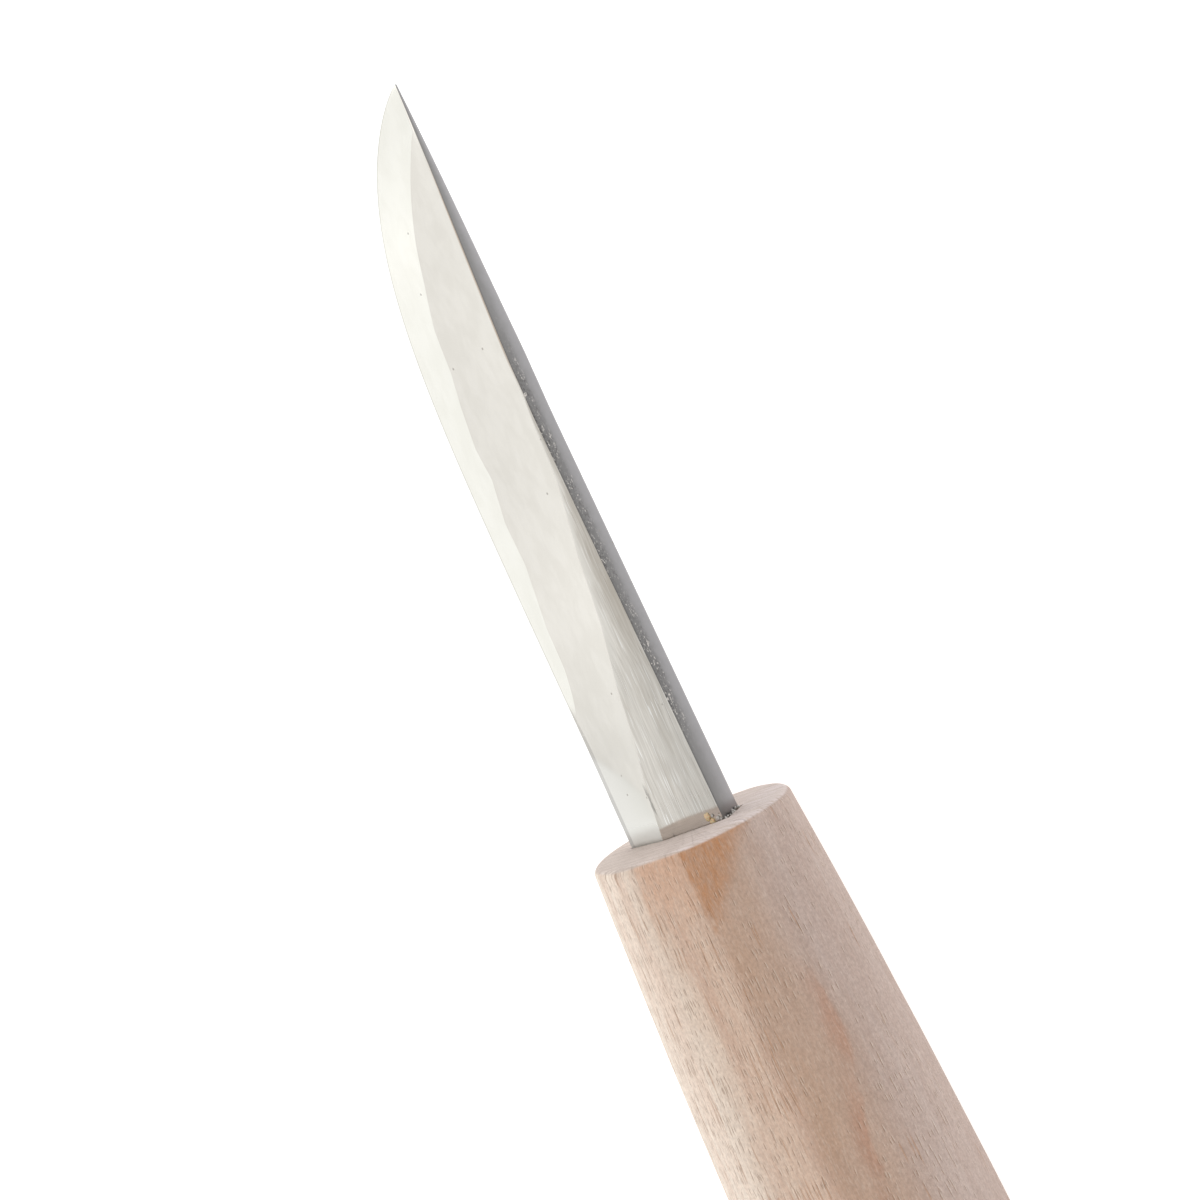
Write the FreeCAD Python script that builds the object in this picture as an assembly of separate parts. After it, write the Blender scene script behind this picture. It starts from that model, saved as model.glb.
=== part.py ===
import FreeCAD, Part
import math
import os

# Chip carving knife: short forged blade glued into an oval wooden handle.
#
# Frame, in millimetres: the origin is the centre of the handle's flat front
# face, where the blade enters.  +X runs along the knife toward the tip,
# +Y points toward the cutting edge and +Z is the normal of one blade side.
# The knife therefore lies on its side, with the blade flat.

# ---- blade ----
BLADE_LENGTH = 69.6         # exposed length, front face of the handle to the tip
SPINE_Y = -4.45             # the straight part of the spine
TIP_DROP = 0.75             # how far the spine line has bowed outward at the tip
BOW_START = 36.0            # where that bow begins
EDGE_Y = 6.18               # cutting edge at the handle
EDGE_SLOPE = 0.014          # the edge closes on the spine by this much per mm
BELLY_POWER = 6.4           # how late the belly falls
BELLY_ROUND = 0.82          # how round it ends at the tip
STOCK = 3.15                # thickness of the forged bar at the spine
TAPER_START = 44.0          # the bar thins from here to the tip
TAPER_AMOUNT = 0.93         # share of the thickness lost at the tip
TAPER_POWER = 1.05
FLAT_AT_HEEL = 6.6          # width of the parallel flat beside the spine, at x = 0
FLAT_END = 46.0             # the parallel flat has run out here
FLAT_POWER = 1.4
BEVEL_START = 12.5          # the sharpened bevel begins here
BEVEL_SCALE = 0.62          # bevel width = scale * (distance) ** power
BEVEL_POWER = 0.46
BEVEL_RISE = 0.212          # half thickness gained per mm of bevel width
EDGE_THICK = 0.05           # thickness left at the sharpened edge
HEEL_THICK = 0.36           # the blunt, unsharpened heel is this thick at x = 0
LEAST_STRIP = 0.08          # no facet is ever narrower than this

# ---- tang, all of it hidden in the handle ----
RICASSO_DEPTH = 6.0         # the full blade width goes this far into the handle
TANG_LENGTH = 58.0          # depth of the tang end below the front face
TANG_WIDTH_FRONT = 7.0
TANG_WIDTH_BACK = 4.0
TANG_THICK_FRONT = 2.9
TANG_THICK_BACK = 2.0

# ---- mortise in the handle, filled with epoxy around the tang ----
GAP = 0.14                  # clearance on the sides of the blade
GAP_SPINE = 0.45            # the slot overruns the spine by this much
SLOT_DEPTH = 8.0            # depth of the flat slot
BORE_RADIUS = 4.3           # drilled hole behind the slot
BORE_DEPTH = 61.0
GLUE_RECESS = 0.20          # the glue stops this far below the front face

# ---- handle ----
HANDLE_LENGTH = 105.0
OVAL = 0.86                 # half height (Z) over half width (Y)
FLATTEN = 0.945             # both broad sides are sanded flat to this share of the height
FRONT_RADIUS = 9.72         # half width at the front face
SWELL_X = -68.0             # the handle is fullest here
SWELL_RADIUS = 12.3
BUTT_RADIUS = 10.4          # half width at the butt before rounding
RIM_RADIUS = 0.7            # broken edge around the front face
BUTT_ROUNDING = 6.5

# ---- glue squeezed out at the spine corner, inside the slot's outline ----
DAB_OUT = 0.80              # length of the bead along X, from the recessed glue
DAB_ON_SIDE = 0.12          # thickness on the blade's side
DAB_ON_SPINE = 0.40         # thickness on the spine
DAB_SIDE_LENGTH = 1.40      # length along the blade's side
DAB_SPINE_LENGTH = 2.20     # length along the spine


def clamp(value, low, high):
    return max(low, min(high, value))


def smooth(value):
    t = clamp(value, 0.0, 1.0)
    return t * t * (3.0 - 2.0 * t)


def spine_y(x):
    return SPINE_Y - TIP_DROP * smooth((x - BOW_START) / (BLADE_LENGTH - BOW_START))


def edge_y(x):
    straight = EDGE_Y - EDGE_SLOPE * x
    along = clamp(x / BLADE_LENGTH, 0.0, 1.0)
    fall = max(0.0, 1.0 - along ** BELLY_POWER) ** BELLY_ROUND
    tip = SPINE_Y - TIP_DROP
    return tip + (straight - tip) * fall


def thickness(x):
    along = clamp((x - TAPER_START) / (BLADE_LENGTH - TAPER_START), 0.0, 1.0)
    return STOCK * (1.0 - TAPER_AMOUNT * along ** TAPER_POWER)


def edge_thickness(x):
    heel = 1.0 - smooth(x / BEVEL_START)
    return EDGE_THICK + (HEEL_THICK - EDGE_THICK) * heel


def flat_width(x):
    left = clamp(1.0 - x / FLAT_END, 0.0, 1.0)
    return FLAT_AT_HEEL * left ** FLAT_POWER


def bevel_width(x):
    run = max(0.0, x - BEVEL_START)
    return BEVEL_SCALE * run ** BEVEL_POWER


def blade_section(x):
    """Eight corners of the blade's cross section, the spine first."""
    spine = spine_y(x)
    edge = max(edge_y(x), spine + 5 * LEAST_STRIP)
    half = thickness(x) / 2.0
    half_edge = min(edge_thickness(x) / 2.0, 0.4 * half)
    flat = spine + max(flat_width(x), LEAST_STRIP)
    bevel = min(edge - max(bevel_width(x), LEAST_STRIP), edge - LEAST_STRIP)
    bevel = max(bevel, flat + LEAST_STRIP)
    half_bevel = min(half_edge + BEVEL_RISE * (edge - bevel), 0.93 * half)
    upper = [(spine, half), (flat, half), (bevel, half_bevel), (edge, half_edge)]
    lower = [(y, -z) for y, z in reversed(upper)]
    return upper + lower


def polygon(x, corners):
    points = [FreeCAD.Vector(x, y, z) for y, z in corners]
    return Part.makePolygon(points + [points[0]])


def blade_body():
    """Exposed blade: facets ruled between cross sections, closer at the belly."""
    stations = [0.0, 4.0, 8.0, 12.5, 13.5, 16.0, 20.0, 25.0, 30.0, 35.0, 40.0, 44.0]
    x = 46.0
    while x < BLADE_LENGTH - 0.25:
        stations.append(x)
        x += clamp((BLADE_LENGTH - x) * 0.11, 0.22, 2.0)
    stations.append(BLADE_LENGTH - 0.05)
    wires = [polygon(x, blade_section(x)) for x in stations]
    return Part.makeLoft(wires, True, True)


def rectangle(x, y_mid, width, height):
    w = width / 2.0
    h = height / 2.0
    corners = [(y_mid - w, h), (y_mid + w, h), (y_mid + w, -h), (y_mid - w, -h)]
    return polygon(x, corners)


def tang():
    """Ricasso inside the handle, then a stick tang tapering toward its end."""
    section = Part.Face(polygon(-RICASSO_DEPTH, blade_section(0.0)))
    ricasso = section.extrude(FreeCAD.Vector(RICASSO_DEPTH, 0, 0))
    front = rectangle(-RICASSO_DEPTH, 0.0, TANG_WIDTH_FRONT, TANG_THICK_FRONT)
    back = rectangle(-TANG_LENGTH, 0.0, TANG_WIDTH_BACK, TANG_THICK_BACK)
    stick = Part.makeLoft([back, front], True, True)
    return ricasso.fuse(stick)


def make_blade():
    return blade_body().fuse(tang()).removeSplitter()


def oval(x, radius):
    ellipse = Part.Ellipse(FreeCAD.Vector(x, 0, 0), radius, radius * OVAL)
    ellipse.Axis = FreeCAD.Vector(1, 0, 0)
    ellipse.XAxis = FreeCAD.Vector(0, 1, 0)
    return Part.Wire([ellipse.toShape()])


def handle_radius(x):
    """Half width of the handle: a slow swell from the mouth, then a fall."""
    if x > SWELL_X:
        along = x / SWELL_X
        rise = math.sin(0.5 * math.pi * along ** 0.92)
        return FRONT_RADIUS + (SWELL_RADIUS - FRONT_RADIUS) * rise
    along = (x - SWELL_X) / (-HANDLE_LENGTH - SWELL_X)
    return SWELL_RADIUS - (SWELL_RADIUS - BUTT_RADIUS) * along ** 2.0


def mortise():
    """Slot that follows the blade's section, and a drilled hole behind it."""
    half = thickness(0.0) / 2.0 + GAP
    half_edge = HEEL_THICK / 2.0 + GAP
    flat = SPINE_Y + FLAT_AT_HEEL + GAP
    upper = [(SPINE_Y - GAP_SPINE, half), (flat, half), (EDGE_Y + GAP, half_edge)]
    lower = [(y, -z) for y, z in reversed(upper)]
    slot = Part.Face(polygon(-SLOT_DEPTH, upper + lower))
    slot = slot.extrude(FreeCAD.Vector(SLOT_DEPTH, 0, 0))
    bore = Part.makeCylinder(BORE_RADIUS, BORE_DEPTH - SLOT_DEPTH + 1.0,
                             FreeCAD.Vector(-BORE_DEPTH, 0, 0),
                             FreeCAD.Vector(1, 0, 0))
    return slot.fuse(bore)


def end_edges(shape, x):
    """Outer edges of the shape that lie in the plane at this x."""
    found = []
    for edge in shape.Edges:
        box = edge.BoundBox
        flat = abs(box.XMin - x) < 1e-4 and abs(box.XMax - x) < 1e-4
        if flat and box.YLength > 15.0:
            found.append(edge)
    return found


def flat_sided_slab(stations):
    """Block whose broad faces follow the swell just inside the oval's own."""
    top = []
    bottom = []
    for x in stations:
        height = handle_radius(x) * OVAL * FLATTEN
        top.append(FreeCAD.Vector(x, -20.0, height))
        bottom.append(FreeCAD.Vector(x, -20.0, -height))
    upper = Part.BSplineCurve()
    upper.interpolate(top)
    lower = Part.BSplineCurve()
    lower.interpolate(bottom)
    front = Part.LineSegment(top[0], bottom[0])
    back = Part.LineSegment(top[-1], bottom[-1])
    edges = [upper.toShape(), back.toShape(), lower.toShape(), front.toShape()]
    outline = Part.Wire(Part.__sortEdges__(edges))
    return Part.Face(outline).extrude(FreeCAD.Vector(0, 40.0, 0))


def make_handle():
    stations = [0.0, -17.0, -34.0, -51.0, SWELL_X, -87.0, -HANDLE_LENGTH]
    ovals = [oval(x, handle_radius(x)) for x in stations]
    body = Part.makeLoft(ovals, True, False)
    body = body.makeFillet(BUTT_ROUNDING, end_edges(body, -HANDLE_LENGTH))
    body = body.makeFillet(RIM_RADIUS, end_edges(body, 0.0))
    body = body.common(flat_sided_slab(stations))
    return body.cut(mortise())


def make_epoxy(blade):
    """Glue filling the mortise around the tang, a little short of its mouth."""
    mouth = Part.makeBox(GLUE_RECESS + 1.0, 30.0, 30.0,
                         FreeCAD.Vector(-GLUE_RECESS, -15.0, -15.0))
    return mortise().cut(blade).cut(mouth)


def bead_profile(start, out, thick):
    """Closed outline of a rounded bead: out along X, thick along a second axis."""
    far = start + FreeCAD.Vector(out, 0, 0)
    high = start + thick
    middle = start + FreeCAD.Vector(0.62 * out, 0, 0) + thick * 0.62
    lines = [Part.LineSegment(high, start).toShape(), Part.LineSegment(start, far).toShape()]
    arc = Part.Arc(far, middle, high).toShape()
    return Part.Face(Part.Wire(lines + [arc]))


def make_dab():
    """Hardened glue that wraps the spine corner and stands out of the slot."""
    half = thickness(0.0) / 2.0
    corner = FreeCAD.Vector(-GLUE_RECESS, SPINE_Y, half)
    side = bead_profile(corner, DAB_OUT, FreeCAD.Vector(0, 0, DAB_ON_SIDE))
    side = side.extrude(FreeCAD.Vector(0, DAB_SIDE_LENGTH, 0))
    top = corner + FreeCAD.Vector(0, 0, DAB_ON_SIDE)
    back = bead_profile(top, DAB_OUT, FreeCAD.Vector(0, -DAB_ON_SPINE, 0))
    back = back.extrude(FreeCAD.Vector(0, 0, -DAB_SPINE_LENGTH))
    return side.fuse(back)


os.makedirs("parts", exist_ok=True)

blade = make_blade()
handle = make_handle()
epoxy = make_epoxy(blade)
dab = make_dab()

parts = {
    "blade": blade,
    "handle": handle,
    "tang_epoxy": epoxy,
    "glue_dab": dab,
}

for name, shape in parts.items():
    solids = shape.Solids
    if len(solids) != 1:
        raise RuntimeError(name + " has " + str(len(solids)) + " solids")
    solid = solids[0]
    if not solid.isValid():
        raise RuntimeError(name + " is not a valid solid")
    solid.exportStep("parts/" + name + ".step")
    box = solid.BoundBox
    print(name, "volume", round(solid.Volume, 3), "x", round(box.XMin, 2), round(box.XMax, 2),
          "y", round(box.YMin, 2), round(box.YMax, 2), "z", round(box.ZMin, 2),
          round(box.ZMax, 2))
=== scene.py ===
import math
import random
import bpy
from mathutils import Matrix, Vector, noise


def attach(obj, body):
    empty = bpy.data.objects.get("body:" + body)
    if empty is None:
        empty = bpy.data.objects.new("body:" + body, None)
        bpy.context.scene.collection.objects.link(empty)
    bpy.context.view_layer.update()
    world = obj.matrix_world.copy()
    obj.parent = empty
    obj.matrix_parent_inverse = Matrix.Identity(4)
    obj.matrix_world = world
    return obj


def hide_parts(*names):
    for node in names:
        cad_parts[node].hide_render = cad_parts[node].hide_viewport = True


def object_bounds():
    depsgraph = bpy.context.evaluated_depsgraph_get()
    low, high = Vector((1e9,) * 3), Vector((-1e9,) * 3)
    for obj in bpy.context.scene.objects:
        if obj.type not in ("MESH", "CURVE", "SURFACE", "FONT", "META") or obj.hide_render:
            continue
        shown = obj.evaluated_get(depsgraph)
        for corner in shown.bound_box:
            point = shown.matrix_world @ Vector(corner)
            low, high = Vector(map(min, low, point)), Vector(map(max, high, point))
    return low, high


# Looks of the chip carving knife.  Lengths below are in millimetres and are
# turned into metres where a mesh, a bump or the camera is made.  +X runs to the
# blade's tip, +Y to the cutting edge, and +Z is the normal of its upper side.

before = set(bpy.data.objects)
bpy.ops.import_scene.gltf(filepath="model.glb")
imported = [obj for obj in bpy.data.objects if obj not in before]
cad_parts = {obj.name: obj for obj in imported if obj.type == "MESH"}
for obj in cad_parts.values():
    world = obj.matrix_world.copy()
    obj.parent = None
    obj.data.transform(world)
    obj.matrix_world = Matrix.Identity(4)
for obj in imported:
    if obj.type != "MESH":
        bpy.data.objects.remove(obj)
cad_low, cad_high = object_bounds()
random.seed(7)

MM = 0.001

# blade, measured from the handle's front face
BLADE_LENGTH = 69.6
SPINE_Y = -4.45
TIP_DROP = 0.75
BOW_START = 36.0
EDGE_Y = 6.18
EDGE_SLOPE = 0.014
BELLY_POWER = 6.4
BELLY_ROUND = 0.82
STOCK = 3.15
TAPER_START = 44.0
TAPER_SHARE = 0.93
TAPER_POWER = 1.05
FLAT_AT_HEEL = 6.6
FLAT_END = 46.0
FLAT_POWER = 1.4
BEVEL_START = 12.5
BEVEL_SCALE = 0.62
BEVEL_POWER = 0.46
BEVEL_SLOPE = 0.212
HEEL_THICK = 0.36
LIP_AT_HEEL = 0.42
LIP_AT_TIP = 0.11
CORNER = 0.10
HOLLOW_SHARE = 0.030
WAVE_DEPTH = 0.020
RIPPLE_DEPTH = 0.005
HEEL_FACET_RISE = 0.020
TIP_Y = SPINE_Y - TIP_DROP

# tang: half sizes at its end and at its front, where the blade's section begins
TANG_END = -58.0
TANG_FRONT = -6.0
TANG_HALF_WIDTH = (2.0, 3.5)
TANG_HALF_THICK = (1.0, 1.45)

# handle, with the slot and the drilled hole for the tang
HANDLE_LENGTH = 105.0
OVAL = 0.86
FLATTEN = 0.945
FRONT_RADIUS = 9.72
SWELL_X = -68.0
SWELL_RADIUS = 12.3
SWELL_POWER = 0.92
BUTT_RADIUS = 10.4
RIM_RADIUS = 0.7
BUTT_ROUNDING = 6.5
SLOT_GAP = 0.14
SLOT_GAP_SPINE = 0.45
SLOT_END = -8.0
MOUTH_CHAMFER = 0.04
BORE_RADIUS = 4.3
BORE_END = -61.0
SANDED_WAVE = 0.035
SANDED_RIPPLE = 0.012

# how finely the blade's section, the blade and the handle are divided
BEVEL_STEPS = 10
MAIN_STEPS = 16
FLAT_STEPS = 12
SPINE_STEPS = 5
TANG_STEPS = 7
BLADE_STEPS = 560
RING_POINTS = 256
FACE_STEPS = 10
RIM_STEPS = 8
BODY_STEPS = 290
BUTT_STEPS = 16

# glue: points round and rings up a drop or a grain
DROP_STEPS = (20, 12)
GRAIN_STEPS = (10, 7)
GRAINS_IN_GAP = 9

# floor, and strength of the light overhead and low down on either side
TENT_TOP = 0.88
TENT_EDGE_SIDE = 1.45
TENT_SPINE_SIDE = 0.85
TENT_SPREAD = 0.6
FLOOR_HALF = 4000.0

# camera: turned from straight above toward the tip and the spine, rolled, and
# then moved left and up across its view of the handle's front face
CAMERA_TIP_TURN = math.radians(7.2)
CAMERA_SPINE_TURN = math.radians(30.5)
CAMERA_ROLL = math.radians(25.35)
CAMERA_DISTANCE = 450.0
CAMERA_LEFT = 7.8947
CAMERA_UP = 19.9123
LENS = 153.9


def clamp(value, low, high):
    return max(low, min(high, value))


def smooth(value):
    """Soft rise from 0 to 1."""
    t = clamp(value, 0.0, 1.0)
    return t * t * (3.0 - 2.0 * t)


def mix(a, b, t):
    return a + (b - a) * t


def knots(points, x):
    """Straight lines between a few (x, value) points."""
    if x <= points[0][0]:
        return points[0][1]
    for (x0, v0), (x1, v1) in zip(points, points[1:]):
        if x <= x1:
            return mix(v0, v1, (x - x0) / (x1 - x0))
    return points[-1][1]


# ---------------------------------------------------------------- meshes

def new_object(name, vertices, faces, material):
    """A mesh object in the row frame, from vertices in millimetres."""
    mesh = bpy.data.meshes.new(name)
    mesh.from_pydata([(x * MM, y * MM, z * MM) for x, y, z in vertices], [], faces)
    mesh.validate()
    for polygon in mesh.polygons:
        polygon.use_smooth = True
    mesh.materials.append(material)
    obj = bpy.data.objects.new(name, mesh)
    bpy.context.scene.collection.objects.link(obj)
    return obj


def closed_skin(rings, start, end):
    """Vertices and faces of a skin over rings of equally many points.

    The points start and end close it.  Its faces look outward when the rings
    turn counterclockwise, seen from the end, and inward when they don't.
    """
    size = len(rings[0])
    pairs = [(j, (j + 1) % size) for j in range(size)]
    vertices = [point for ring in rings for point in ring]
    closing = len(vertices)
    last = closing - size
    faces = []
    for a in range(0, last, size):
        b = a + size
        faces.extend((a + j, a + k, b + k, b + j) for j, k in pairs)
    for j, k in pairs:
        faces.append((k, j, closing))
        faces.append((last + j, last + k, closing + 1))
    return vertices + [start, end], faces


def mark_sharp(mesh, is_sharp):
    """Shades the edges that is_sharp picks as hard corners."""
    sharp = mesh.attributes.new("sharp_edge", "BOOLEAN", "EDGE")
    for edge in mesh.edges:
        sharp.data[edge.index].value = is_sharp(edge)


def add_piece(obj, node):
    """Ties a mesh to the part and hides the CAD node it stands for."""
    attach(obj, "root")
    if node:
        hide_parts(node)


# ---------------------------------------------------------------- shader help

class Tree:
    """Short calls for building one node material."""

    def __init__(self, name):
        self.material = bpy.data.materials.new(name)
        self.material.use_nodes = True
        self.nodes = self.material.node_tree.nodes
        self.links = self.material.node_tree.links
        self.shader = self.nodes["Principled BSDF"]

    def link(self, value, socket):
        if isinstance(value, bpy.types.NodeSocket):
            self.links.new(value, socket)
        else:
            socket.default_value = value

    def set(self, name, value):
        self.link(value, self.shader.inputs[name])

    def math(self, operation, a, b=0.0):
        node = self.nodes.new("ShaderNodeMath")
        node.operation = operation
        self.link(a, node.inputs[0])
        self.link(b, node.inputs[1])
        return node.outputs[0]

    def add(self, a, b):
        return self.math("ADD", a, b)

    def mul(self, a, b):
        return self.math("MULTIPLY", a, b)

    def step(self, value, low, high, to_low=0.0, to_high=1.0):
        """Smooth change from to_low to to_high while value goes low to high."""
        node = self.nodes.new("ShaderNodeMapRange")
        node.interpolation_type = "SMOOTHSTEP"
        self.link(value, node.inputs["Value"])
        node.inputs["From Min"].default_value = low
        node.inputs["From Max"].default_value = high
        node.inputs["To Min"].default_value = to_low
        node.inputs["To Max"].default_value = to_high
        return node.outputs[0]

    def blend(self, factor, a, b, mode="MIX"):
        node = self.nodes.new("ShaderNodeMix")
        node.data_type = "RGBA"
        node.blend_type = mode
        self.link(factor, node.inputs["Factor"])
        self.link(a, node.inputs["A"])
        self.link(b, node.inputs["B"])
        return node.outputs["Result"]

    def shade(self, color, factor):
        """The colour made lighter or darker by a factor."""
        return self.blend(1.0, color, factor, "MULTIPLY")

    def place(self):
        """Object position in millimetres, as one vector."""
        coordinates = self.nodes.new("ShaderNodeTexCoord")
        return self.stretch(coordinates.outputs["Object"], (1.0 / MM, 1.0 / MM, 1.0 / MM))

    def stretch(self, vector, scale, shift=(0.0, 0.0, 0.0)):
        node = self.nodes.new("ShaderNodeMapping")
        self.link(vector, node.inputs["Vector"])
        node.inputs["Scale"].default_value = scale
        node.inputs["Location"].default_value = shift
        return node.outputs[0]

    def xyz(self, vector):
        node = self.nodes.new("ShaderNodeSeparateXYZ")
        self.link(vector, node.inputs[0])
        return node.outputs

    def combine(self, a, b, c):
        node = self.nodes.new("ShaderNodeCombineXYZ")
        self.link(a, node.inputs[0])
        self.link(b, node.inputs[1])
        self.link(c, node.inputs[2])
        return node.outputs[0]

    def noise(self, vector, scale, detail=2.0, rough=0.5):
        node = self.nodes.new("ShaderNodeTexNoise")
        self.link(vector, node.inputs["Vector"])
        node.inputs["Scale"].default_value = scale
        node.inputs["Detail"].default_value = detail
        node.inputs["Roughness"].default_value = rough
        return node.outputs["Fac"]

    def cells(self, vector, scale):
        """Distance to the nearest cell's point, and that cell's own colour."""
        node = self.nodes.new("ShaderNodeTexVoronoi")
        self.link(vector, node.inputs["Vector"])
        node.inputs["Scale"].default_value = scale
        return node.outputs["Distance"], node.outputs["Color"]

    def attribute(self, name):
        node = self.nodes.new("ShaderNodeAttribute")
        node.attribute_name = name
        return node

    def bump(self, height, distance_mm):
        node = self.nodes.new("ShaderNodeBump")
        node.inputs["Strength"].default_value = 1.0
        node.inputs["Distance"].default_value = distance_mm * MM
        self.link(height, node.inputs["Height"])
        return node.outputs[0]


def rgb(r, g, b):
    return (r, g, b, 1.0)


# ---------------------------------------------------------------- materials

def grinding_lines(t, place, x, y, z):
    """Lines along the flat: the long ones, all of them, and a few bright ones."""
    sway = t.mul(t.noise(place, 0.10, 1.0), 1.6)
    along = t.combine(t.mul(x, 0.10), t.mul(t.add(y, sway), 5.2), z)
    slant = t.combine(t.mul(x, 0.24), t.mul(t.add(y, t.mul(x, 0.035)), 9.0), z)
    coarse = t.step(t.noise(along, 1.0, 4.0, 0.65), 0.32, 0.68)
    fine = t.step(t.noise(slant, 1.0, 3.0, 0.62), 0.34, 0.66)
    streak = t.add(t.mul(coarse, 0.55), t.mul(fine, 0.45))
    scratch = t.step(t.noise(slant, 1.3, 0.0), 0.66, 0.73)
    return coarse, streak, scratch


def main_facet(t, x, y, haze, share, dull):
    """Polished, a little darker toward the handle and lighter at the tip."""
    color = t.blend(haze, rgb(0.75, 0.729, 0.68), rgb(0.788, 0.768, 0.721))
    rise = t.add(t.step(x, 5.0, 24.0, 0.785, 1.01), t.step(x, 38.0, 68.0, 0.0, 0.165))
    color = t.shade(color, rise)
    heel = t.blend(t.step(y, 1.8, 5.4), rgb(0.58, 0.575, 0.54), rgb(0.67, 0.665, 0.635))
    color = t.blend(share, color, heel)
    return t.blend(dull, color, rgb(0.69, 0.69, 0.665))


def flat_facet(t, place, x, haze, share, lines, main):
    """Ground lines and brownish clouds, darker toward the spine."""
    coarse, streak, scratch = lines
    color = t.blend(streak, rgb(0.605, 0.58, 0.535), rgb(0.80, 0.775, 0.725))
    clouds = t.noise(t.stretch(place, (0.12, 0.9, 0.9), (7.0, 2.0, 0.0)), 1.0, 3.0, 0.6)
    brown = t.step(clouds, 0.48, 0.68)
    color = t.blend(t.mul(brown, 0.30), color, rgb(0.50, 0.46, 0.40))
    color = t.blend(t.mul(scratch, 0.85), color, rgb(0.90, 0.90, 0.88))
    worn = t.add(share, t.mul(t.add(haze, -0.5), 0.14))
    color = t.shade(color, t.step(worn, 0.10, 0.95, 1.0, 0.80))
    tan = t.mul(t.step(worn, 0.15, 0.85), t.mul(t.step(x, 10.0, 22.0), t.step(x, 48.0, 42.0)))
    tan = t.mul(tan, t.step(coarse, 0.0, 1.0, 0.78, 0.40))
    color = t.blend(tan, color, rgb(0.44, 0.40, 0.345))
    # burnished even beside the wood, where the front face is mirrored
    color = t.blend(t.step(x, 1.3, 0.9), color, rgb(0.645, 0.625, 0.59))
    # away from the handle the flat runs softly into the main facet
    soft = t.mul(t.step(worn, 0.30, 0.02), t.step(x, 11.0, 19.0))
    color = t.blend(soft, color, main)
    # past the flat's end only the arris is left, with a trace of rust
    trace = t.mul(t.step(x, 41.0, 46.0), t.step(x, 65.0, 58.0))
    return t.blend(t.mul(trace, 0.6), color, rgb(0.50, 0.38, 0.28))


def spine_facet(t, place, x, share):
    """Greyer and rougher beside the upper corner: its colour, rust and pits."""
    ragged = t.add(share, t.mul(t.add(t.noise(place, 1.1, 3.0, 0.65), -0.5), 0.35))
    color = t.blend(t.step(ragged, 0.05, 1.0), rgb(0.192, 0.188, 0.186),
                    rgb(0.314, 0.307, 0.315))
    rusty = t.mul(t.step(ragged, 0.55, 0.30), t.mul(t.step(x, 5.0, 13.0), t.step(x, 50.0, 42.0)))
    grit = t.noise(t.stretch(place, (3.4, 3.9, 3.9)), 1.0, 2.0, 0.7)
    patches = t.mul(rusty, t.step(t.noise(place, 0.55, 2.0), 0.40, 0.58, 0.25, 1.0))
    dark_pits = t.mul(patches, t.step(grit, 0.45, 0.37))
    bright_pits = t.mul(patches, t.step(grit, 0.585, 0.66))
    color = t.blend(t.mul(dark_pits, 0.7), color, rgb(0.10, 0.093, 0.088))
    color = t.blend(t.mul(bright_pits, 0.85), color, rgb(0.70, 0.66, 0.615))
    color = t.shade(color, t.step(x, 42.0, 62.0, 1.0, 1.10))
    return color, rusty, t.add(bright_pits, t.mul(dark_pits, -1.0))


def arris_crease(t, place, x, y, z):
    """A crease hammered along the arris beside the heel facet, darkened with painted shade."""
    bent = t.add(t.add(y, -1.55), t.mul(t.add(t.noise(place, 0.9), -0.5), 0.5))
    crease = t.step(t.math("ABSOLUTE", bent), 0.15, 0.04)
    crease = t.mul(crease, t.mul(t.step(x, 2.0, 2.9), t.step(x, 5.6, 4.4)))
    return t.mul(crease, t.step(z, 0.6, 0.9))


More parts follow.
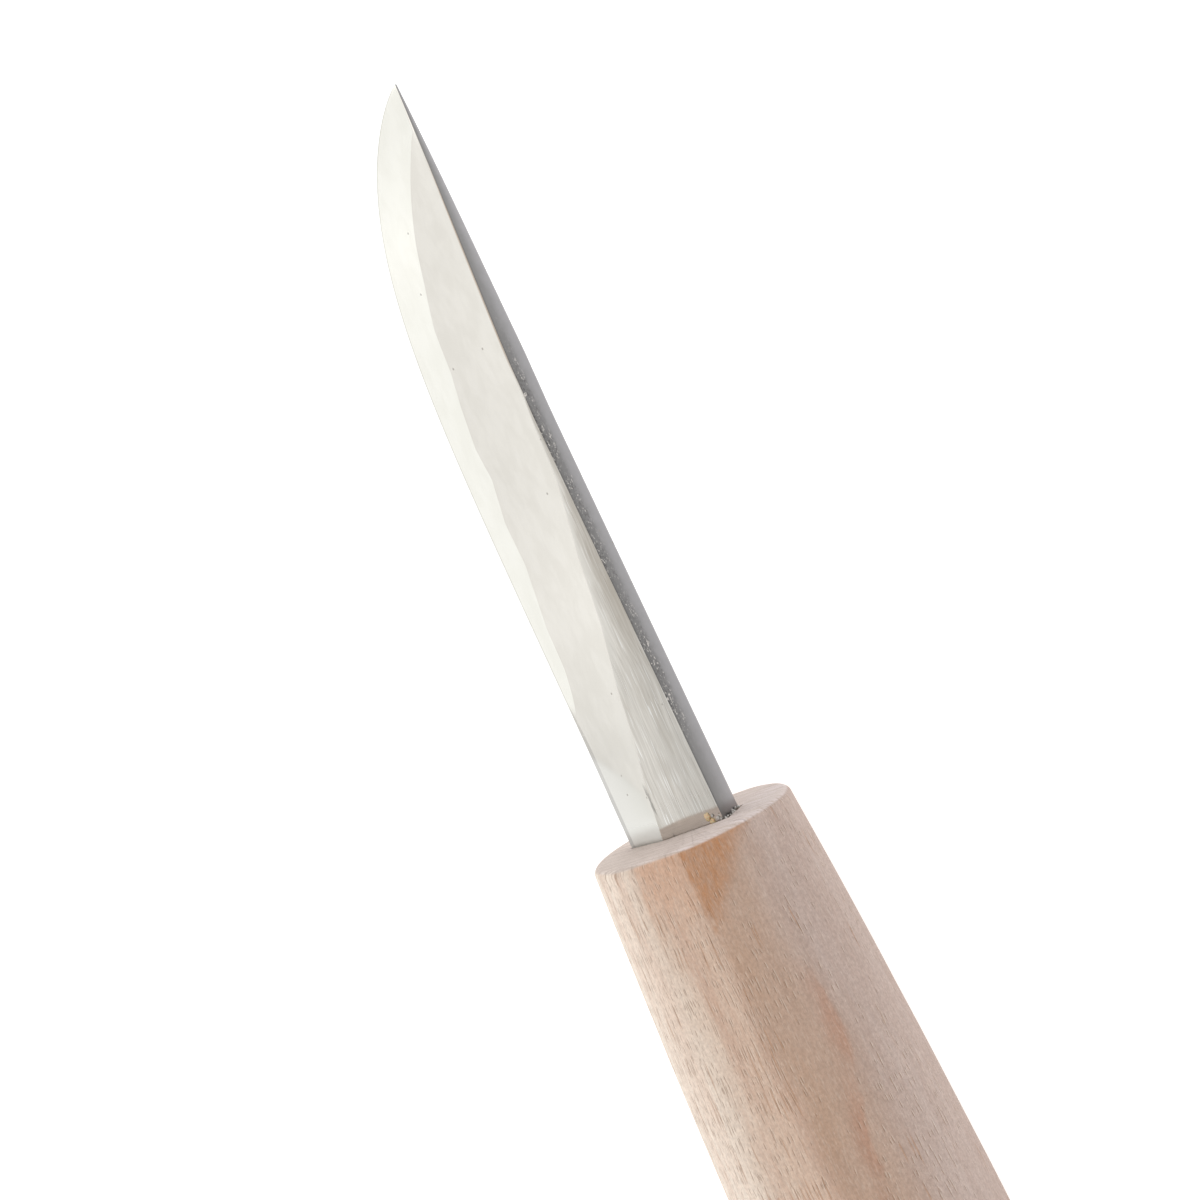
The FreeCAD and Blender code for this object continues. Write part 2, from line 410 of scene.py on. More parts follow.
def steel_material():
    """Ground steel.

    The zones colour says which facet a face belongs to: red is the parallel
    flat, green the sharpened bevel and blue the spine.  Its alpha is the heel
    facet's share on the main facet.  On the flat and the spine it is the way
    across: from the arris to the corner, then from the upper to the lower one.
    """
    t = Tree("forged_steel")
    place = t.place()
    x, y, z = t.xyz(place)
    zone = t.attribute("zones")
    split = t.nodes.new("ShaderNodeSeparateColor")
    t.link(zone.outputs["Color"], split.inputs[0])
    flat, bevel, spine = split.outputs
    share = zone.outputs["Alpha"]
    cloud = t.noise(place, 0.16, 3.0, 0.55)
    haze = t.step(t.noise(t.stretch(place, (0.30, 0.75, 0.75)), 1.0, 4.0, 0.6), 0.35, 0.65)
    lines = grinding_lines(t, place, x, y, z)
    streak = lines[1]
    # the heel facet is dull where it meets the wood, so it doesn't mirror it
    dull = t.mul(t.step(x, 2.8, 0.5), t.mul(share, t.step(t.add(flat, spine), 0.9, 0.5)))
    main = main_facet(t, x, y, haze, share, dull)
    honed = t.blend(haze, rgb(0.85, 0.845, 0.79), rgb(0.88, 0.876, 0.825))
    honed = t.shade(honed, t.step(x, 42.0, 64.0, 0.96, 1.075))
    spine_color, rusty, pits = spine_facet(t, place, x, share)
    crease = arris_crease(t, place, x, y, z)
    color = t.blend(flat, main, flat_facet(t, place, x, haze, share, lines, main))
    color = t.blend(bevel, color, honed)
    # painted shade darkens the crease
    color = t.blend(t.mul(crease, 0.6), color, rgb(0.22, 0.215, 0.20))
    color = t.blend(spine, color, spine_color)
    # a few tiny nicks in the polished facets, darkened with painted shade
    nick, nick_tint = t.cells(t.stretch(place, (0.8, 1.0, 1.0), (3.0, 1.0, 0.0)), 0.55)
    nicks = t.mul(t.step(nick, 0.070, 0.035), t.step(t.xyz(nick_tint)[0], 0.35, 0.4))
    t.set("Base Color", t.blend(t.mul(nicks, 0.55), color, rgb(0.25, 0.23, 0.20)))
    t.set("Metallic", 1.0)
    # the flat is smoothest beside the handle, where it mirrors the wood sharply
    satin = t.mul(t.step(x, 0.8, 3.5), t.add(0.09, t.mul(streak, 0.10)))
    rough = t.add(t.step(x, 1.2, 3.5, 0.05, 0.15), t.mul(flat, satin))
    rough = t.add(rough, t.mul(spine, 0.22))
    rough = t.add(rough, t.mul(rusty, t.mul(spine, 0.15)))
    rough = t.add(rough, t.mul(dull, 0.45))
    t.set("Roughness", t.add(rough, t.mul(cloud, t.step(x, 1.2, 3.5, 0.02, 0.05))))
    height = t.mul(t.add(t.mul(t.mul(flat, t.step(x, 0.9, 3.5)), 0.8), 0.06), streak)
    height = t.add(height, t.mul(spine, t.mul(pits, 1.2)))
    height = t.add(height, t.mul(t.add(nicks, crease), -0.8))
    t.set("Normal", t.bump(height, 0.012))
    return t.material


def pore_layer(t, along, around, scale, share):
    """Thin pores along the grain: 1 inside a pore, 0 outside."""
    length, width = scale
    cell, tint = t.cells(t.combine(t.mul(along, length), t.mul(around, width), 0.0), 1.0)
    chosen = t.math("GREATER_THAN", t.xyz(tint)[0], share)
    return t.mul(t.step(cell, 0.42, 0.20), chosen)


def open_pores(t, along, around, share):
    """Many short pores and fewer long ones; more of them as share falls."""
    short = pore_layer(t, along, around, (0.85, 7.8), share)
    lengthy = pore_layer(t, along, around, (0.38, 7.0), t.add(share, 0.16))
    return t.math("MAXIMUM", short, lengthy)


def sap_heart_and_side_light(t, across, tone):
    """Pale sapwood toward the cutting edge, darker pinkish heartwood beyond, and painted side
    light.
    """
    pale = t.blend(tone, rgb(0.62, 0.427, 0.325), rgb(0.71, 0.536, 0.422))
    # painted light: the wood is painted palest on the cutting edge's side, where the side light
    # falls
    painted_lit_side = t.blend(tone, rgb(0.85, 0.70, 0.59), rgb(0.91, 0.81, 0.705))
    pale = t.blend(t.step(across, -0.5, 6.5), pale, painted_lit_side)
    dark = t.blend(tone, rgb(0.46, 0.31, 0.233), rgb(0.517, 0.362, 0.279))
    # painted light: greyer and a little lighter on the spine's side
    painted_spine_side_light = t.blend(tone, rgb(0.48, 0.367, 0.322), rgb(0.529, 0.42, 0.376))
    dark = t.blend(t.step(across, -5.8, -9.0), dark, painted_spine_side_light)
    return t.blend(t.step(across, -1.0, -4.2), pale, dark)


def stained_mouth(t, color, across, depth, mottle):
    """Peach tint near the mouth, and beside it an orange stain that tapers away."""
    peach = t.mul(t.step(across, 2.6, 2.0), t.step(across, -3.2, -2.4))
    peach = t.mul(peach, t.step(t.add(depth, t.mul(mottle, 3.0)), 10.0, 2.0))
    color = t.blend(t.mul(peach, 0.60), color, rgb(0.65, 0.385, 0.252))
    border = t.math("MINIMUM", t.add(t.mul(depth, 0.58), -7.7), -3.9)
    inside = t.add(across, t.mul(border, -1.0))
    stain = t.mul(t.step(across, -2.35, -2.75), t.step(inside, -1.0, 0.9))
    stain = t.mul(stain, t.step(t.add(depth, t.mul(mottle, 1.5)), 9.5, 6.0))
    stain = t.mul(stain, t.step(mottle, 0.0, 1.0, 1.0, 0.64))
    return t.blend(stain, color, rgb(0.485, 0.240, 0.12))


def brown_bands(t, color, grain, across, depth):
    """Two faint brown bands that carry on down the handle."""
    patchy = t.step(t.noise(t.stretch(grain, (0.16, 0.3, 0.3)), 1.0, 2.0), 0.35, 0.6, 0.35, 1.0)
    first = t.mul(t.step(across, -2.2, -3.5), t.step(across, -5.9, -4.0))
    first = t.mul(first, t.mul(t.step(depth, 5.0, 9.0), t.step(depth, 60.0, 34.0)))
    color = t.blend(t.mul(t.mul(first, patchy), 0.34), color, rgb(0.51, 0.314, 0.20))
    beside = t.add(across, t.step(depth, 14.0, 36.0, 7.6, 5.6))
    second = t.mul(t.step(beside, -0.40, -0.05), t.step(beside, 1.2, 0.1))
    second = t.mul(second, t.mul(t.step(depth, 12.0, 18.0), t.step(depth, 60.0, 36.0)))
    return t.blend(t.mul(t.mul(second, patchy), 0.66), color, rgb(0.47, 0.257, 0.175))


def end_grain(t, color, place, x, y, z):
    """The greyer front face with lines from side to side, and the butt."""
    lines = t.combine(x, t.mul(y, 0.22), t.mul(t.add(z, t.mul(y, 0.08)), 4.2))
    lines = t.step(t.noise(lines, 1.0, 4.0, 0.7), 0.38, 0.62)
    dots = t.cells(t.stretch(place, (0.5, 3.4, 3.4)), 1.0)[0]
    front = t.blend(t.step(y, -8.0, 6.0), rgb(0.722, 0.633, 0.62), rgb(0.735, 0.632, 0.575))
    front = t.blend(lines, front, rgb(0.58, 0.485, 0.43))
    front = t.blend(t.mul(t.step(dots, 0.34, 0.16), 0.28), front, rgb(0.36, 0.29, 0.25))
    color = t.blend(t.step(x, -0.32, -0.10), color, front)
    butt = t.blend(t.step(dots, 0.40, 0.15), rgb(0.56, 0.42, 0.33), rgb(0.42, 0.29, 0.21))
    at_butt = t.step(x, 5.0 - HANDLE_LENGTH, 0.4 - HANDLE_LENGTH)
    return t.blend(t.mul(at_butt, 0.75), color, butt)


def wood_material():
    """Sanded light hardwood: fibres, open pores, pale and dark wood, a stain."""
    t = Tree("sanded_wood")
    place = t.place()
    x, y, z = t.xyz(place)
    depth = t.mul(x, -1.0)
    # the grain follows the handle's swell, so it spreads out behind the mouth
    spread = t.math("MINIMUM", t.math("MAXIMUM", t.mul(depth, 0.006), 0.0), 0.26)
    spread = t.add(1.0, spread)
    v = t.math("DIVIDE", y, spread)
    w = t.math("DIVIDE", z, spread)
    grain = t.combine(x, v, w)
    # way around the handle in millimetres, with its seam underneath
    around = t.mul(t.math("ARCTAN2", v, t.math("DIVIDE", w, OVAL)), FRONT_RADIUS)
    around = t.add(around, t.mul(t.noise(t.stretch(grain, (0.12, 0.2, 0.2)), 1.0, 1.0), 0.8))
    wander = t.add(t.noise(t.stretch(grain, (0.11, 0.05, 0.05)), 1.0, 3.0, 0.6), -0.5)
    across = t.add(v, t.mul(wander, 2.4))
    tone = t.step(t.noise(t.stretch(grain, (0.030, 0.55, 0.55)), 1.0, 3.0, 0.6), 0.36, 0.64)
    fibre = t.step(t.noise(t.stretch(grain, (0.30, 5.4, 5.4)), 1.0, 4.0, 0.72), 0.3, 0.7)
    hair = t.step(t.noise(t.stretch(grain, (1.1, 10.0, 10.0)), 1.0, 2.0, 0.6), 0.45, 0.75)
    speckle = t.noise(t.stretch(grain, (2.9, 4.4, 4.4)), 1.0, 2.0, 0.6)
    mottle = t.step(t.noise(t.stretch(grain, (0.5, 1.4, 1.4)), 1.0, 3.0, 0.65), 0.3, 0.7)
    color = sap_heart_and_side_light(t, across, tone)
    color = t.blend(t.mul(mottle, 0.10), color, rgb(0.40, 0.28, 0.225))
    color = stained_mouth(t, color, across, depth, mottle)
    color = brown_bands(t, color, grain, across, depth)
    color = t.blend(t.mul(fibre, 0.20), color, rgb(0.38, 0.265, 0.20))
    pale_hair = t.mul(hair, t.step(across, -6.0, 2.0, 0.16, 0.30))
    color = t.blend(pale_hair, color, rgb(0.87, 0.775, 0.68))
    color = t.shade(color, t.step(speckle, 0.25, 0.75, 0.90, 1.10))
    # open pores: a thin dark groove with a painted highlight on its far lip, crowding in the pale
    # wood
    crowd = t.noise(t.stretch(grain, (0.09, 0.35, 0.35)), 1.0, 2.0)
    share = t.add(t.step(across, -5.0, 3.0, 0.80, 0.58), t.step(crowd, 0.35, 0.65, 0.18, -0.14))
    share = t.add(share, t.step(x, 7.0 - HANDLE_LENGTH, 4.5 - HANDLE_LENGTH, 0.0, 2.0))
    pores = open_pores(t, x, around, share)
    painted_lip_highlights = open_pores(t, x, t.add(around, 0.085), share)
    # broader brown veins, most of them where the pale wood meets the dark
    seam = t.step(t.math("ABSOLUTE", t.add(across, 1.3)), 2.6, 0.8)
    scarce = t.add(t.add(share, 0.16), t.mul(seam, -0.26))
    veins = pore_layer(t, x, around, (0.22, 4.4), scarce)
    # painted highlight on the far lip of each pore
    color = t.blend(t.mul(painted_lip_highlights, 0.26), color, rgb(0.90, 0.81, 0.70))
    color = t.blend(t.mul(veins, 0.48), color, rgb(0.47, 0.26, 0.15))
    color = t.blend(t.mul(pores, 0.40), color, rgb(0.31, 0.16, 0.085))
    t.set("Base Color", end_grain(t, color, place, x, y, z))
    t.set("Roughness", t.step(fibre, 0.0, 1.0, 0.62, 0.74))
    t.set("Specular IOR Level", 0.3)
    height = t.add(t.add(fibre, t.mul(hair, 0.6)), t.mul(t.add(pores, veins), -1.6))
    t.set("Normal", t.bump(height, 0.02))
    return t.material


def glue_material(name, clouds, dark, light, gloss, relief, soft=0.0):
    """Hardened glue, clouded between two colours and two roughnesses."""
    t = Tree(name)
    cloud = t.noise(t.place(), *clouds)
    t.set("Base Color", t.blend(cloud, dark, light))
    t.set("Roughness", t.step(cloud, 0.3, 0.7, *gloss))
    if soft:
        t.set("Subsurface Weight", soft)
        t.set("Subsurface Scale", 0.5 * MM)
    t.set("Normal", t.bump(cloud, relief))
    return t.material


def bed_material():
    return glue_material("cured_epoxy", (0.9, 3.0), rgb(0.40, 0.31, 0.21),
                         rgb(0.56, 0.46, 0.33), (0.25, 0.45), 0.05)


def amber_material():
    return glue_material("amber_glue", (3.0, 2.0), rgb(0.60, 0.41, 0.21),
                         rgb(0.74, 0.60, 0.40), (0.15, 0.35), 0.03, soft=0.2)


def crumb_material():
    return glue_material("glue_crumbs", (5.0, 2.0), rgb(0.36, 0.34, 0.32),
                         rgb(0.66, 0.63, 0.60), (0.2, 0.5), 0.03)


def floor_material():
    t = Tree("pale_floor")
    t.set("Base Color", rgb(0.50, 0.50, 0.50))
    t.set("Roughness", 0.9)
    t.set("Emission Color", rgb(1.0, 1.0, 1.0))
    t.set("Emission Strength", 0.80)
    return t.material


# ---------------------------------------------------------------- blade

# small wanderings of the two ground arrises, as left by separate strokes
FLAT_WANDER = [(0, 0.0), (5, 0.25), (9, 0.05), (14, 0.2), (20, -0.1), (26, 0.0), (33, -0.42),
               (38, -0.15), (46, 0.0)]
BEVEL_WANDER = [(12, 0.0), (17, -0.22), (21, 0.12), (27, -0.25), (31, 0.14), (35, -0.3),
                (38, 0.18), (42, 0.05), (45, -0.2), (49, 0.1), (53, -0.2), (58, -0.22),
                (63, -0.2), (67, 0.0)]
# border of the heel facet: it meets the flat by the handle and runs out at the edge
HEEL_BORDER = [(0, 1.2), (4.5, 1.6), (6.5, 3.2), (9, 5.6), (11, 7.0)]
# where each facet ends, in steps round the section from the edge; the rest is spine
FACET_ENDS = [("lip", 1), ("bevel", BEVEL_STEPS), ("main", BEVEL_STEPS + MAIN_STEPS),
              ("flat", BEVEL_STEPS + MAIN_STEPS + FLAT_STEPS)]


def spine_y(x):
    return SPINE_Y - TIP_DROP * smooth((x - BOW_START) / (BLADE_LENGTH - BOW_START))


def edge_y(x):
    """The cutting edge: nearly straight, then a belly that curves up to the tip."""
    along = clamp(x / BLADE_LENGTH, 0.0, 1.0)
    fall = max(0.0, 1.0 - along ** BELLY_POWER) ** BELLY_ROUND
    return TIP_Y + (EDGE_Y - EDGE_SLOPE * x - TIP_Y) * fall


def half_thickness(x):
    along = clamp((x - TAPER_START) / (BLADE_LENGTH - TAPER_START), 0.0, 1.0)
    return 0.5 * STOCK * (1.0 - TAPER_SHARE * along ** TAPER_POWER)


def lip_width(x):
    """Width of the dull strip along the edge: broad on the blunt heel."""
    return mix(LIP_AT_HEEL, LIP_AT_TIP, smooth((x - 9.0) / 6.0))


def blade_marks(x):
    """Corners of the section: spine, flat arris, bevel arris and edge.

    After them come the half thicknesses at the spine, bevel arris and edge.
    """
    spine = spine_y(x)
    edge = max(edge_y(x), spine + 0.12)
    half = half_thickness(x)
    blunt = 1.0 - smooth(x / BEVEL_START)
    half_edge = min(mix(0.02, 0.5 * HEEL_THICK, blunt), 0.3 * half)
    flat = spine + FLAT_AT_HEEL * clamp(1.0 - x / FLAT_END, 0.0, 1.0) ** FLAT_POWER
    flat += knots(FLAT_WANDER, x)
    width = BEVEL_SCALE * max(0.0, x - BEVEL_START) ** BEVEL_POWER
    bevel = edge - max(width, lip_width(x) + 0.02) + knots(BEVEL_WANDER, x) * smooth(width)
    # the arrises stay in order and inside the section, down to the thin tip
    bevel = clamp(bevel, spine + 0.06 * (edge - spine), edge - 0.03)
    flat = clamp(flat, spine + 0.02 * (edge - spine), bevel - 0.02 * (edge - spine))
    half_bevel = min(half_edge + BEVEL_SLOPE * (edge - bevel), 0.93 * half)
    return spine, flat, bevel, edge, half, half_bevel, half_edge


def blade_section(x):
    """Upper half of the section from the edge to the spine's middle."""
    spine, flat, bevel, edge, half, half_bevel, half_edge = blade_marks(x)
    corner = min(CORNER, 0.25 * half, 0.3 * (flat - spine))
    points = [(edge, half_edge)]
    lip = min(0.9, lip_width(x) / (edge - bevel))
    for i in range(1, BEVEL_STEPS + 1):
        t = mix(lip, 1.0, (i - 1) / (BEVEL_STEPS - 1))
        points.append((mix(edge, bevel, t), mix(half_edge, half_bevel, t)))
    for i in range(1, MAIN_STEPS + 1):
        t = i / MAIN_STEPS
        hollow = HOLLOW_SHARE * half * math.sin(math.pi * t)
        points.append((mix(bevel, flat, t), mix(half_bevel, half, t) - hollow))
    for i in range(1, FLAT_STEPS + 1):
        t = i / FLAT_STEPS
        points.append((mix(flat, spine + corner, t), half))
    points.append((spine + 0.3 * corner, half - 0.3 * corner))
    points.append((spine, half - corner))
    for i in range(1, SPINE_STEPS):
        points.append((spine, (half - corner) * (1.0 - i / SPINE_STEPS)))
    return points


def heel_amount(x, y):
    """How far a point lies inside the heel facet beside the handle, 0 to 1."""
    border = knots(HEEL_BORDER, x) + 0.25 * noise.noise(Vector((x * 0.5, y * 0.5, 3.0)))
    return smooth((y - border) / 1.1)


def tang_section(along, count):
    """Upper half of the tang's squared section; along goes 0 to 1 from its end."""
    width = mix(*TANG_HALF_WIDTH, along)
    thick = mix(*TANG_HALF_THICK, along)
    points = []
    for index in range(count):
        turn = math.pi * (index + 0.5) / count
        c, s = math.cos(turn), math.sin(turn)
        grow = 1.0 / max(abs(c), abs(s))
        points.append((width * c * grow, thick * min(1.0, s * grow)))
    return points


def uneven(x, y, z):
    """Height of a point on the blade's sides, with hammer and grinding marks."""
    if not 0.0 < x < BLADE_LENGTH - 2.0 or abs(z) <= 0.12 or y <= spine_y(x) + 0.05:
        return z
    side = math.copysign(1.0, z)
    wave = noise.noise(Vector((x * 0.16, y * 0.22, side * 5.0)))
    ripple = noise.noise(Vector((x * 0.55, y * 0.5, side * 9.0)))
    depth = WAVE_DEPTH * wave + RIPPLE_DEPTH * ripple
    z += side * depth * smooth((abs(z) - 0.12) / 0.3)
    return z + side * HEEL_FACET_RISE * heel_amount(x, y)


def make_blade(material):
    """Blade and tang as one skin over rings from the tang's end to the tip."""
    count = len(blade_section(0.0))
    sections = []
    for i in range(TANG_STEPS + 1):
        along = i / TANG_STEPS
        sections.append((mix(TANG_END, TANG_FRONT, along), tang_section(along, count)))
    stations = [TANG_FRONT, 0.5 * TANG_FRONT]
    for i in range(BLADE_STEPS + 1):
        left = (1.0 - i / BLADE_STEPS) ** 1.3
        stations.append(min(BLADE_LENGTH * (1.0 - left), BLADE_LENGTH - 0.01))
    sections.extend((x, blade_section(max(x, 0.0))) for x in stations)
    rings = []
    for x, upper in sections:
        middle = [(upper[-1][0], 0.0)]
        lower = [(y, -z) for y, z in reversed(upper)]
        rings.append([(x, y, uneven(x, y, z)) for y, z in upper + middle + lower])
    vertices, faces = closed_skin(rings, (TANG_END, 0.0, 0.0), (BLADE_LENGTH, TIP_Y, 0.0))
    blade = new_object("forged_blade", vertices, faces, material)
    paint_blade(blade.data, len(rings[0]))
    return blade


def facet_of(polygon, size):
    """Facet of a face, from where its points lie on rings of that size.

    The fans that close the two ends count as lip.
    """
    if len(polygon.vertices) == 3:
        return "lip"
    places = [v % size for v in polygon.vertices]
    first = min(places)
    if max(places) - first > 1:
        return "edge"
    index = min(first, size - 2 - first)
    for facet, end in FACET_ENDS:
        if index < end:
            return facet
    return "spine"


def zone_color(facet, x, y, z):
    """What steel_material is told about one corner of a face."""
    red, green, blue, alpha = 0.0, 0.0, 0.0, heel_amount(x, y)
    if facet in ("bevel", "lip"):
        green = smooth((x - BEVEL_START) / 1.5)
    if facet == "lip":
        blue = mix(0.30, 0.22, smooth((x - 8.0) / 6.0))
    if facet == "flat":
        red = 1.0
        spine, flat = blade_marks(clamp(x, 0.0, BLADE_LENGTH))[:2]
        alpha = clamp((flat - y) / max(flat - spine, 0.05), 0.0, 1.0)
    if facet in ("spine", "edge"):
        blue = 1.0
        alpha = clamp(0.5 - 0.5 * z / max(half_thickness(x), 0.02), 0.0, 1.0)
    return red, green, blue, alpha


def paint_blade(mesh, size):
    """Writes each face's facet into the zones colour and marks sharp arrises."""
    zones = mesh.color_attributes.new("zones", "FLOAT_COLOR", "CORNER")
    meeting = {}
    for polygon in mesh.polygons:
        facet = facet_of(polygon, size)
        for loop in polygon.loop_indices:
            x, y, z = mesh.vertices[mesh.loops[loop].vertex_index].co / MM
            zones.data[loop].color = zone_color(facet, x, y, z)
        for key in polygon.edge_keys:
            meeting.setdefault(key, set()).add(facet)
    mark_sharp(mesh, lambda edge: len(meeting[tuple(sorted(edge.vertices))]) == 2)


# ---------------------------------------------------------------- handle

def handle_radius(x):
    """Half width of the handle: it swells toward SWELL_X, then narrows again."""
    if x > SWELL_X:
        along = x / SWELL_X
        rise = math.sin(0.5 * math.pi * max(along, 0.0) ** SWELL_POWER)
        return FRONT_RADIUS + (SWELL_RADIUS - FRONT_RADIUS) * rise
    along = (x - SWELL_X) / (-HANDLE_LENGTH - SWELL_X)
    return SWELL_RADIUS - (SWELL_RADIUS - BUTT_RADIUS) * along ** 2.0


def turns():
    """Cosine and sine of each step round the handle."""
    angles = [2.0 * math.pi * j / RING_POINTS for j in range(RING_POINTS)]
    return [(math.cos(angle), math.sin(angle)) for angle in angles]


def oval_ring(x, radius):
    """Ring of the outer skin: an oval whose two broad sides are flattened."""
    limit = radius * OVAL * FLATTEN
    ease = 0.01 * radius
    ring = []
    for c, s in turns():
        z = radius * OVAL * s
        drop = ease * math.log1p(math.exp((abs(z) - limit) / ease))
        ring.append((x, radius * c, math.copysign(abs(z) - drop, z)))
    return ring


def sanded(ring):
    """The ring with the faint waves that sanding leaves, all inside the oval."""
    points = []
    for x, y, z in ring:
        away = Vector((0.0, y, z)).normalized()
        wave = noise.noise(Vector((x * 0.07, y * 0.25, z * 0.25))) - 1.0
        ripple = noise.noise(Vector((x * 0.22, y * 0.8, z * 0.8))) - 1.0
        lift = SANDED_WAVE * wave + SANDED_RIPPLE * ripple
        points.append((x, y + away.y * lift, z + away.z * lift))
    return points


def slot_outline():
    """The slot follows the blade's section: one point for each step round the oval."""
    half = STOCK / 2.0 + SLOT_GAP
    half_edge = HEEL_THICK / 2.0 + SLOT_GAP
    upper = [(SPINE_Y - SLOT_GAP_SPINE, half), (SPINE_Y + FLAT_AT_HEEL + SLOT_GAP, half),
             (EDGE_Y + SLOT_GAP, half_edge)]
    corners = upper + [(y, -z) for y, z in reversed(upper)]
    middle = (upper[0][0] + upper[-1][0]) / 2.0
    outline = []
    for c, s in turns():
        # where a ray from the middle crosses the sides of the outline
        reach = 0.0
        for (y0, z0), (y1, z1) in zip(corners, corners[1:] + corners[:1]):
            cross = c * (z1 - z0) - s * (y1 - y0)
            if abs(cross) < 1e-9:
                continue
            away = ((y0 - middle) * (z1 - z0) - z0 * (y1 - y0)) / cross
            share = ((y0 - middle) * s - z0 * c) / cross
            if away > 0.0 and -1e-6 <= share <= 1.0 + 1e-6:
                reach = max(reach, away)
        outline.append((middle + reach * c, reach * s))
    return outline


def skin_rings():
    """Rings of the outer skin, from the middle of the butt forward to the rim."""
    body_end = BUTT_ROUNDING - HANDLE_LENGTH
    butt = handle_radius(body_end)
    profile = [(-HANDLE_LENGTH, (butt - BUTT_ROUNDING) * share) for share in (0.25, 0.5, 0.75)]
    for i in range(BUTT_STEPS, 0, -1):
        turn = 0.5 * math.pi * i / BUTT_STEPS
        profile.append((body_end - BUTT_ROUNDING * math.sin(turn),
                        butt - BUTT_ROUNDING * (1.0 - math.cos(turn))))
    for i in range(BODY_STEPS, 0, -1):
        x = mix(-RIM_RADIUS, body_end, i / BODY_STEPS)
        profile.append((x, handle_radius(x)))
    for i in range(RIM_STEPS, 0, -1):
        turn = 0.5 * math.pi * i / RIM_STEPS
        profile.append((-RIM_RADIUS * (1.0 - math.cos(turn)),
                        handle_radius(-RIM_RADIUS) - RIM_RADIUS * (1.0 - math.sin(turn))))
    return [sanded(oval_ring(x, radius)) for x, radius in profile]


def hole_rings(slot, mouth):
    """Rings from the mouth to the end of the bore, each with whether it is sharp."""
    def slot_ring(x):
        return [(x, y, z) for y, z in slot]

    def bore_ring(x):
        return [(x, BORE_RADIUS * c, BORE_RADIUS * s) for c, s in turns()]

    return [(mouth, True), (slot_ring(-MOUTH_CHAMFER), True), (slot_ring(-0.25), False),
            (slot_ring(SLOT_END), True), (bore_ring(SLOT_END), True),
            (bore_ring(BORE_END), False)]


def make_handle(material):
    """One skin: up the outside, over the front face and into slot and bore."""
    slot = slot_outline()
    mouth = [(0.0, 1.01 * y, 1.02 * z) for y, z in slot]
    rim = oval_ring(0.0, FRONT_RADIUS - RIM_RADIUS)
    rings = skin_rings()
    for i in range(FACE_STEPS, 0, -1):
        t = i / FACE_STEPS
        rings.append([(0.0, mix(a[1], b[1], t), mix(a[2], b[2], t)) for a, b in zip(mouth, rim)])
    sharp_rings = set()
    for ring, is_sharp in hole_rings(slot, mouth):
        if is_sharp:
            sharp_rings.add(len(rings))
        rings.append(ring)
    vertices, faces = closed_skin(rings, (-HANDLE_LENGTH, 0.0, 0.0), (BORE_END, 0.0, 0.0))
    handle = new_object("wooden_handle", vertices, faces, material)

    def on_sharp_ring(edge):
        a, b = (v // RING_POINTS for v in edge.vertices)
        return a == b and a in sharp_rings

    mark_sharp(handle.data, on_sharp_ring)
    return handle


# ---------------------------------------------------------------- glue

def blob(center, radii, seed, rough, steps):
    """Lumpy closed drop: the vertices and faces of one small island."""
    around, along = steps
    rings = []
    for i in range(1, along):
        lift = math.pi * i / along
        ring = []
        for j in range(around):
            turn = 2.0 * math.pi * j / around
            way = Vector((math.sin(lift) * math.cos(turn), math.sin(lift) * math.sin(turn),
                          math.cos(lift)))
            grow = 1.0 + rough * noise.noise(way * 1.7 + Vector((seed, 0.0, 0.0)))
            ring.append(tuple(c + r * w * grow for c, r, w in zip(center, radii, way)))
        rings.append(ring)
    x, y, z = center
    vertices, faces = closed_skin(rings, (x, y, z + radii[2]), (x, y, z - radii[2]))
    # the rings run downward, so every face is turned round to look outward
    return vertices, [face[:1] + face[:0:-1] for face in faces]


def make_blobs(name, blobs, material):
    """One object from many blobs."""
    vertices = []
    faces = []
    for part, part_faces in blobs:
        start = len(vertices)
        vertices.extend(part)
        faces.extend(tuple(v + start for v in face) for face in part_faces)
    return new_object(name, vertices, faces, material)


def on_side(x, inward, above):
    """A place on the blade's upper side: along it, in from the spine, above it."""
    return x, SPINE_Y + inward, 0.5 * STOCK + above


def make_glue(material):
    """The dab near the spine's upper corner: a drop, and a flatter one beside it."""
    drops = [blob(on_side(0.62, 1.43, 0.055), (0.38, 0.25, 0.17), 1.0, 0.55, DROP_STEPS),
             blob(on_side(0.16, 1.15, 0.045), (0.26, 0.26, 0.13), 2.0, 0.45, DROP_STEPS)]
    return make_blobs("glue_drop", drops, material)


def make_crumbs(material):
    """Grains of glue: a row down the gap at the spine, and three on the flat."""
    crumbs = []
    for index in range(GRAINS_IN_GAP):
        z = mix(1.5, -1.4, index / (GRAINS_IN_GAP - 1)) + random.uniform(-0.12, 0.12)
        y = SPINE_Y - random.uniform(0.05, 0.40)
        size = random.uniform(0.09, 0.19)
        x = random.uniform(-0.05, 0.12)
        radii = (size * 1.1, size, size * 0.9)
        crumbs.append(blob((x, y, z), radii, 10.0 + index, 0.8, GRAIN_STEPS))
    for x, inward, size in ((0.25, 0.50, 0.17), (0.62, 0.97, 0.13), (0.10, 0.25, 0.12)):
        radii = (size, 0.8 * size, 0.7 * size)
        crumbs.append(blob(on_side(x, inward, 0.085), radii, 30.0 + x, 0.8, GRAIN_STEPS))
    return make_blobs("glue_crumbs", crumbs, material)


# ---------------------------------------------------------------- stage

def make_floor(material):
    """Wide floor that the knife lies on."""
    low = cad_low.z / MM
    corners = [(-1, -1), (1, -1), (1, 1), (-1, 1)]
    floor = new_object("studio_floor", [(x * FLOOR_HALF, y * FLOOR_HALF, low) for x, y in corners],
                       [(0, 1, 2, 3)], material)


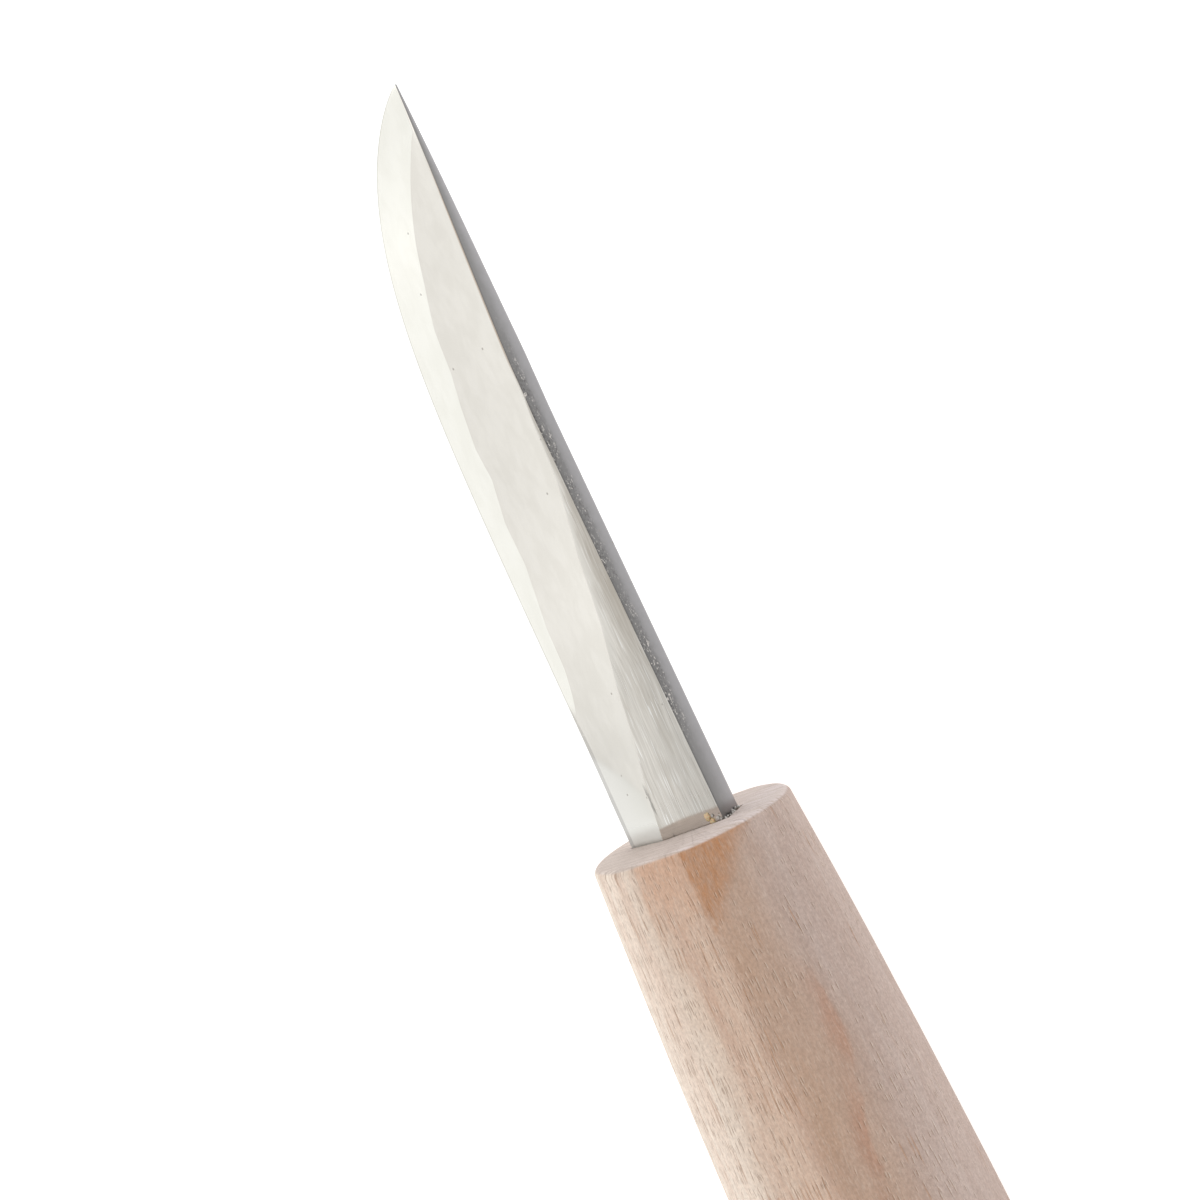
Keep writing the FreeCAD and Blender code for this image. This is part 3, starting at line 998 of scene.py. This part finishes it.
def make_world():
    """Soft white tent: even overhead, brighter low down on the cutting edge's side."""
    world = bpy.data.worlds.new("tent")
    world.use_nodes = True
    nodes, links = world.node_tree.nodes, world.node_tree.links
    background = nodes["Background"]
    coordinates = nodes.new("ShaderNodeTexCoord")
    split = nodes.new("ShaderNodeSeparateXYZ")
    links.new(coordinates.outputs["Generated"], split.inputs[0])
    side = nodes.new("ShaderNodeMapRange")
    rise = nodes.new("ShaderNodeMapRange")
    for node, axis, start, end, strength in (
            (side, "Y", -TENT_SPREAD, TENT_SPREAD, TENT_EDGE_SIDE),
            (rise, "Z", 0.0, 1.0, TENT_TOP)):
        node.interpolation_type = "SMOOTHSTEP"
        links.new(split.outputs[axis], node.inputs["Value"])
        node.inputs["From Min"].default_value = start
        node.inputs["From Max"].default_value = end
        node.inputs["To Max"].default_value = strength
    side.inputs["To Min"].default_value = TENT_SPINE_SIDE
    links.new(side.outputs[0], rise.inputs["To Min"])
    links.new(rise.outputs[0], background.inputs["Strength"])
    background.inputs["Color"].default_value = (1.0, 0.995, 0.985, 1.0)
    bpy.context.scene.world = world


def make_camera():
    """Camera above the blade's side, turned so that the blade leans left."""
    along = Vector((1.0, 0.0, 0.0))
    outward = Vector((0.0, -1.0, 0.0))
    up = Vector((0.0, 0.0, 1.0))
    c, s = math.cos(CAMERA_SPINE_TURN), math.sin(CAMERA_SPINE_TURN)
    facing = s * outward + c * up
    across = c * outward - s * up
    c, s = math.cos(CAMERA_TIP_TURN), math.sin(CAMERA_TIP_TURN)
    back = s * along + c * facing
    ahead = c * along - s * facing
    c, s = math.cos(CAMERA_ROLL), math.sin(CAMERA_ROLL)
    right = c * across - s * ahead
    top = s * across + c * ahead
    place = back * CAMERA_DISTANCE - right * CAMERA_LEFT + top * CAMERA_UP
    data = bpy.data.cameras.new("camera")
    data.sensor_width = 36.0
    data.lens = LENS
    data.clip_start = 0.01
    data.clip_end = 20.0
    camera = bpy.data.objects.new("camera", data)
    bpy.context.scene.collection.objects.link(camera)
    turn = Matrix((right, top, back)).transposed().to_4x4()
    camera.matrix_world = Matrix.Translation(place * MM) @ turn
    bpy.context.scene.camera = camera


# ---------------------------------------------------------------- build

add_piece(make_blade(steel_material()), "blade")
add_piece(make_handle(wood_material()), "handle")
add_piece(make_glue(amber_material()), "glue_dab")
add_piece(make_crumbs(crumb_material()), None)
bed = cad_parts["tang_epoxy"]
bed.data.materials.clear()
bed.data.materials.append(bed_material())

make_floor(floor_material())
make_world()
make_camera()
bpy.context.scene.view_settings.view_transform = "Standard"
